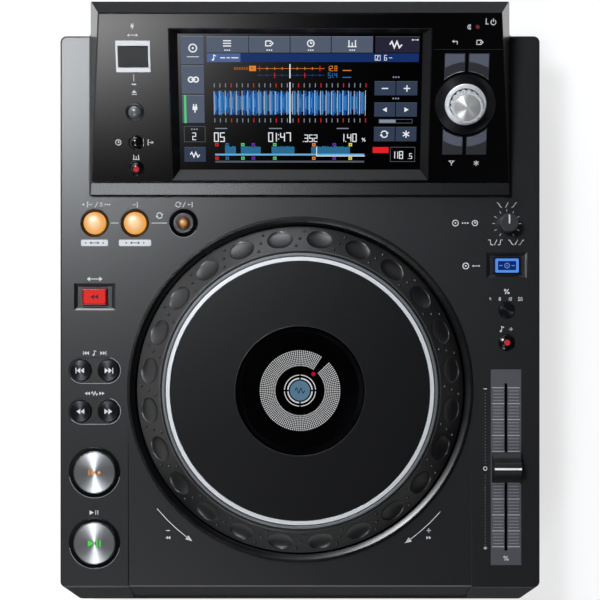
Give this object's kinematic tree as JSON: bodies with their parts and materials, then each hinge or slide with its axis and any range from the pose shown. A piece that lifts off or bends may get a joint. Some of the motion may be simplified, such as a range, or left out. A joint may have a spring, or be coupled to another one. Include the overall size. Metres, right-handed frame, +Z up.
{
  "type": "tabletop dj player",
  "caption": "Tabletop DJ player with a large jog wheel, a tilted display housing, lit transport buttons, a rotary selector and a long tempo fader.",
  "frame": {"origin": "middle of the bounding box footprint, on the surface that the feet stand on", "axes": "+X to the right, +Y away from the user, +Z up"},
  "size_m": [0.3056, 0.3852, 0.1079],
  "materials": {
    "deck_plastic": "fine grained matt",
    "housing_paint": "satin",
    "gloss_black": "polished",
    "bezel_plastic": "satin",
    "touch_glass": "polished",
    "screen": "polished",
    "silver_frame": "satin",
    "well_metal": "satin",
    "rim_plastic": "semi gloss",
    "plate_metal": "fine matt",
    "fader_plate_grey": "satin",
    "cap_black": "satin",
    "knob_metal": "spun",
    "button_orange": "translucent, lit",
    "button_steel": "spun",
    "button_black": "polished",
    "button_grey": "satin",
    "button_red": "translucent",
    "button_blue": "translucent",
    "button_dark": "satin",
    "board_green": "solder mask",
    "switch_black": "moulded",
    "socket_metal": "plated",
    "screw_steel": "zinc",
    "rear_metal": "fine matt",
    "foot_rubber": "matt"
  },
  "bodies": {
    "chassis": {"ac_inlet": "switch_black", "bottom_cover": "deck_plastic", "button_bezels": "bezel_plastic", "cover_screws": "screw_steel", "display_bezel": "bezel_plastic", "display_housing": "housing_paint", "fader_body": "switch_black", "fader_plate": "fader_plate_grey", "feet": "foot_rubber", "gloss_panel": "gloss_black", "jog_bearing": "screw_steel", "jog_display": "screen", "jog_post": "screw_steel", "jog_well": "well_metal", "key_boards": "board_green", "lan_socket": "socket_metal", "lcd_module": "screen", "main_board": "board_green", "phono_sockets": "socket_metal", "port_frame": "silver_frame", "power_supply": "board_green", "rear_panel": "rear_metal", "selector_bezel": "gloss_black", "selector_encoder": "switch_black", "speed_pot": "switch_black", "tact_switches": "switch_black", "top_cover": "deck_plastic", "touch_glass": "touch_glass", "usb_a_socket": "socket_metal", "usb_b_socket": "socket_metal"},
    "jog_wheel": {"jog_rim": "rim_plastic", "jog_trim_ring": "silver_frame"},
    "jog_top": {"jog_plate": "plate_metal", "jog_window": "touch_glass"},
    "selector_stem": {"selector_shaft": "knob_metal"},
    "selector_dial": {"selector_knob": "knob_metal"},
    "speed_dial": {"speed_knob": "cap_black"},
    "fader_slider": {"fader_cap": "cap_black"},
    "flap": {"port_flap": "bezel_plastic"},
    "rocker": {"power_rocker": "cap_black"},
    "cue_button_body": {"cue_button": "button_steel"},
    "direction_key_body": {"direction_key": "button_red"},
    "jog_mode_key_body": {"jog_mode_key": "button_blue"},
    "loop_in_button_body": {"loop_in_button": "button_orange"},
    "loop_out_button_body": {"loop_out_button": "button_orange"},
    "master_tempo_button_body": {"master_tempo_button": "button_black"},
    "play_button_body": {"play_button": "button_steel"},
    "reloop_button_body": {"reloop_button": "button_black"},
    "search_back_button_body": {"search_back_button": "button_black"},
    "search_forward_button_body": {"search_forward_button": "button_black"},
    "tempo_range_button_body": {"tempo_range_button": "button_dark"},
    "track_back_button_body": {"track_back_button": "button_black"},
    "track_forward_button_body": {"track_forward_button": "button_black"},
    "back_button_body": {"back_button": "button_grey"},
    "filter_button_body": {"filter_button": "button_grey"},
    "quantize_button_body": {"quantize_button": "button_black"},
    "shortcut_button_body": {"shortcut_button": "button_grey"},
    "stop_button_body": {"stop_button": "button_black"},
    "tag_button_body": {"tag_button": "button_grey"},
    "time_button_body": {"time_button": "button_black"}
  },
  "joints": [
    {"name": "jog_spin", "type": "hinge", "parent": "chassis", "child": "jog_wheel", "pos_m": [0, -0.0527, 0.07], "axis": [0, 0, 1], "continuous": true},
    {"name": "jog_touch", "type": "slide", "parent": "jog_wheel", "child": "jog_top", "axis": [0, 0, -1], "range_m": [0, 0.0004], "stiffness_N_per_m": 3000, "springref_m": -0.0006},
    {"name": "cue_button_press", "type": "slide", "parent": "chassis", "child": "cue_button_body", "axis": [0, 0, -1], "range_m": [0, 0.0008], "stiffness_N_per_m": 400, "springref_m": -0.001},
    {"name": "direction_key_press", "type": "slide", "parent": "chassis", "child": "direction_key_body", "axis": [0, 0, -1], "range_m": [0, 0.0008], "stiffness_N_per_m": 400, "springref_m": -0.001},
    {"name": "jog_mode_key_press", "type": "slide", "parent": "chassis", "child": "jog_mode_key_body", "axis": [0, 0, -1], "range_m": [0, 0.0008], "stiffness_N_per_m": 400, "springref_m": -0.001},
    {"name": "loop_in_button_press", "type": "slide", "parent": "chassis", "child": "loop_in_button_body", "axis": [0, 0, -1], "range_m": [0, 0.0008], "stiffness_N_per_m": 400, "springref_m": -0.001},
    {"name": "loop_out_button_press", "type": "slide", "parent": "chassis", "child": "loop_out_button_body", "axis": [0, 0, -1], "range_m": [0, 0.0008], "stiffness_N_per_m": 400, "springref_m": -0.001},
    {"name": "master_tempo_button_press", "type": "slide", "parent": "chassis", "child": "master_tempo_button_body", "axis": [0, 0, -1], "range_m": [0, 0.0008], "stiffness_N_per_m": 400, "springref_m": -0.001},
    {"name": "play_button_press", "type": "slide", "parent": "chassis", "child": "play_button_body", "axis": [0, 0, -1], "range_m": [0, 0.0008], "stiffness_N_per_m": 400, "springref_m": -0.001},
    {"name": "reloop_button_press", "type": "slide", "parent": "chassis", "child": "reloop_button_body", "axis": [0, 0, -1], "range_m": [0, 0.0008], "stiffness_N_per_m": 400, "springref_m": -0.001},
    {"name": "search_back_button_press", "type": "slide", "parent": "chassis", "child": "search_back_button_body", "axis": [0, 0, -1], "range_m": [0, 0.0008], "stiffness_N_per_m": 400, "springref_m": -0.001},
    {"name": "search_forward_button_press", "type": "slide", "parent": "chassis", "child": "search_forward_button_body", "axis": [0, 0, -1], "range_m": [0, 0.0008], "stiffness_N_per_m": 400, "springref_m": -0.001},
    {"name": "tempo_range_button_press", "type": "slide", "parent": "chassis", "child": "tempo_range_button_body", "axis": [0, 0, -1], "range_m": [0, 0.0008], "stiffness_N_per_m": 400, "springref_m": -0.001},
    {"name": "track_back_button_press", "type": "slide", "parent": "chassis", "child": "track_back_button_body", "axis": [0, 0, -1], "range_m": [0, 0.0008], "stiffness_N_per_m": 400, "springref_m": -0.001},
    {"name": "track_forward_button_press", "type": "slide", "parent": "chassis", "child": "track_forward_button_body", "axis": [0, 0, -1], "range_m": [0, 0.0008], "stiffness_N_per_m": 400, "springref_m": -0.001},
    {"name": "back_button_press", "type": "slide", "parent": "chassis", "child": "back_button_body", "axis": [0, 0.2909, -0.9568], "range_m": [0, 0.0008], "stiffness_N_per_m": 400, "springref_m": -0.001},
    {"name": "filter_button_press", "type": "slide", "parent": "chassis", "child": "filter_button_body", "axis": [0, 0.2909, -0.9568], "range_m": [0, 0.0008], "stiffness_N_per_m": 400, "springref_m": -0.001},
    {"name": "quantize_button_press", "type": "slide", "parent": "chassis", "child": "quantize_button_body", "axis": [0, 0.2909, -0.9568], "range_m": [0, 0.0008], "stiffness_N_per_m": 400, "springref_m": -0.001},
    {"name": "shortcut_button_press", "type": "slide", "parent": "chassis", "child": "shortcut_button_body", "axis": [0, 0.2909, -0.9568], "range_m": [0, 0.0008], "stiffness_N_per_m": 400, "springref_m": -0.001},
    {"name": "stop_button_press", "type": "slide", "parent": "chassis", "child": "stop_button_body", "axis": [0, 0.2909, -0.9568], "range_m": [0, 0.0008], "stiffness_N_per_m": 400, "springref_m": -0.001},
    {"name": "tag_button_press", "type": "slide", "parent": "chassis", "child": "tag_button_body", "axis": [0, 0.2909, -0.9568], "range_m": [0, 0.0008], "stiffness_N_per_m": 400, "springref_m": -0.001},
    {"name": "time_button_press", "type": "slide", "parent": "chassis", "child": "time_button_body", "axis": [0, 0.2909, -0.9568], "range_m": [0, 0.0008], "stiffness_N_per_m": 400, "springref_m": -0.001},
    {"name": "selector_press", "type": "slide", "parent": "chassis", "child": "selector_stem", "axis": [0, 0.2909, -0.9568], "range_m": [0, 0.0005], "stiffness_N_per_m": 900, "springref_m": -0.001},
    {"name": "selector_turn", "type": "hinge", "parent": "selector_stem", "child": "selector_dial", "pos_m": [0.1029, 0.12453, 0.09636], "axis": [0, -0.2909, 0.9568], "continuous": true},
    {"name": "speed_turn", "type": "hinge", "parent": "chassis", "child": "speed_dial", "pos_m": [0.1317, 0.0529, 0.075], "axis": [0, 0, 1], "range_deg": [-150, 150]},
    {"name": "tempo_slide", "type": "slide", "parent": "chassis", "child": "fader_slider", "axis": [0, 1, 0], "range_m": [-0.05, 0.05]},
    {"name": "flap_hinge", "type": "hinge", "parent": "chassis", "child": "flap", "pos_m": [-0.1029, 0.15966, 0.10181], "axis": [-1, 0, 0], "range_deg": [0, 100]},
    {"name": "rocker_tip", "type": "hinge", "parent": "chassis", "child": "rocker", "pos_m": [-0.055, 0.1724, 0.038], "axis": [1, 0, 0], "range_deg": [-8, 8]}
  ]
}
